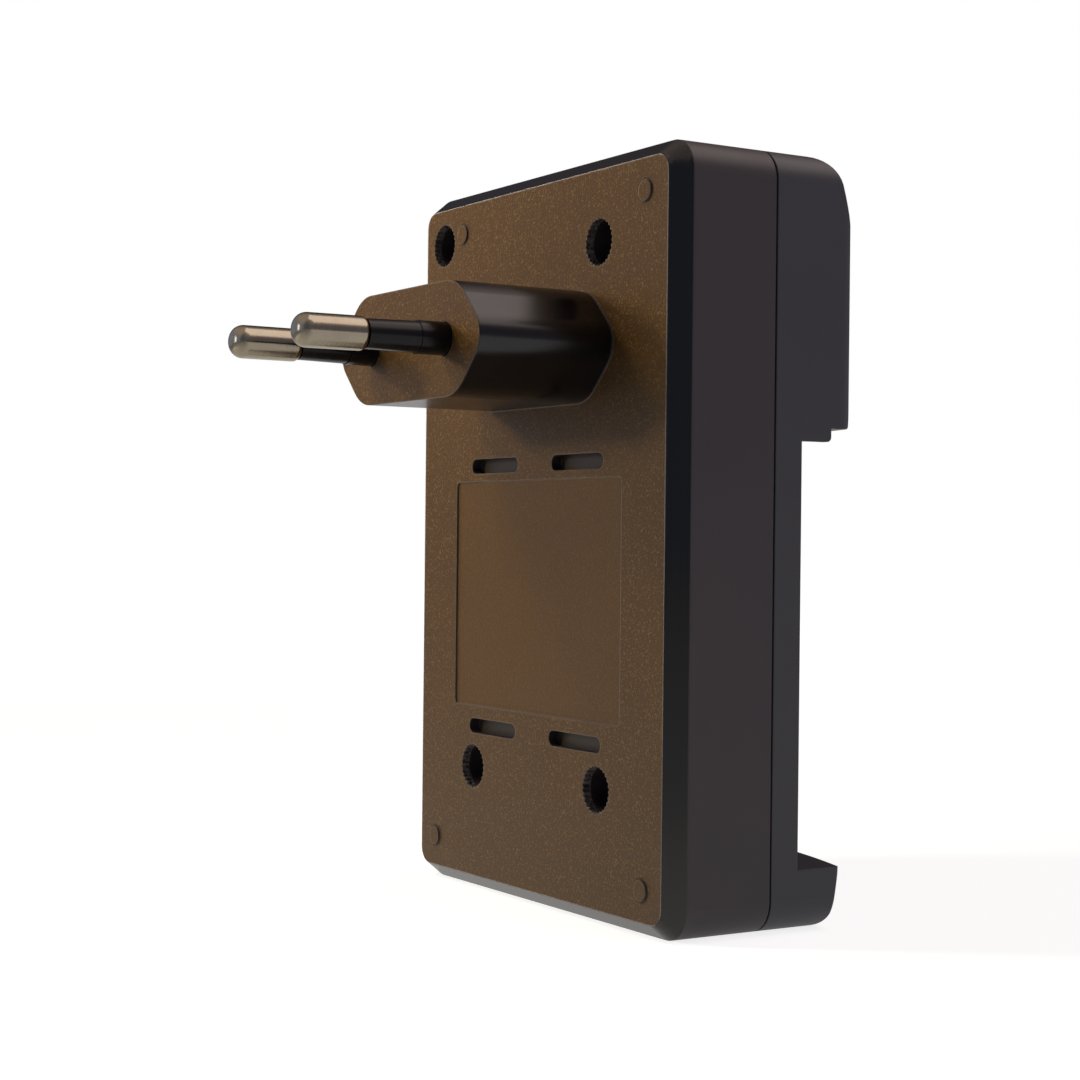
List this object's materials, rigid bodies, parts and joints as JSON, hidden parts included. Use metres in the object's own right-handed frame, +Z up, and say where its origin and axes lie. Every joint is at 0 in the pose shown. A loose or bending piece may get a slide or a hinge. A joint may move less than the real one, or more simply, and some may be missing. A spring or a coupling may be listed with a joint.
{
  "type": "battery charger",
  "caption": "Plug-in wall charger for AA cells: upright case with an open battery bay on one side and a flat two-pin mains plug on the other.",
  "frame": {"origin": "centre of the part's bounding box at the height of its base", "axes": "+Z up along the case, +Y out along the mains plug, the battery bay faces -Y, X across the case"},
  "size_m": [0.0606, 0.0678, 0.0917],
  "materials": {
    "case_rear": "finely textured moulded plastic, satin sides",
    "case_front": "smooth moulded plastic",
    "screw_steel": "zinc-plated steel",
    "nickel": "nickel-plated brass",
    "sleeve": "smooth moulded plastic",
    "spring_bronze": "spring bronze strip",
    "board": "laminate with solder mask",
    "ferrite": "matt ferrite",
    "black_part": "moulded plastic",
    "winding_tape": "film tape round the winding",
    "capacitor_blue": "film sleeve",
    "capacitor_green": "film sleeve",
    "disc_blue": "dipped lacquer",
    "fuse_green": "cement coating",
    "resistor_tan": "lacquer",
    "lamp": "clear cast resin",
    "contact": "nickel-plated spring steel"
  },
  "bodies": {
    "root": {"rear_shell": "case_rear", "front_shell": "case_front", "case_screws": "screw_steel", "pin_left": "nickel", "pin_right": "nickel", "sleeve_left": "sleeve", "sleeve_right": "sleeve", "mains_spring_left": "spring_bronze", "mains_spring_right": "spring_bronze", "circuit_board": "board", "transformer_core": "ferrite", "transformer_bobbin": "black_part", "transformer_winding": "winding_tape", "bulk_capacitor": "capacitor_blue", "output_capacitor": "capacitor_green", "disc_capacitor": "disc_blue", "fuse_resistor": "fuse_green", "rectifier_diodes": "black_part", "output_diode": "black_part", "power_transistor": "black_part", "control_chip": "black_part", "filter_choke": "ferrite", "board_resistors": "resistor_tan", "lamp_left": "lamp", "lamp_right": "lamp", "plus_contact_1": "contact", "minus_spring_1": "contact", "minus_strip_1": "contact", "plus_contact_2": "contact", "minus_spring_2": "contact", "minus_strip_2": "contact", "plus_contact_3": "contact", "minus_spring_3": "contact", "minus_strip_3": "contact", "plus_contact_4": "contact", "minus_spring_4": "contact", "minus_strip_4": "contact"}
  },
  "joints": []
}
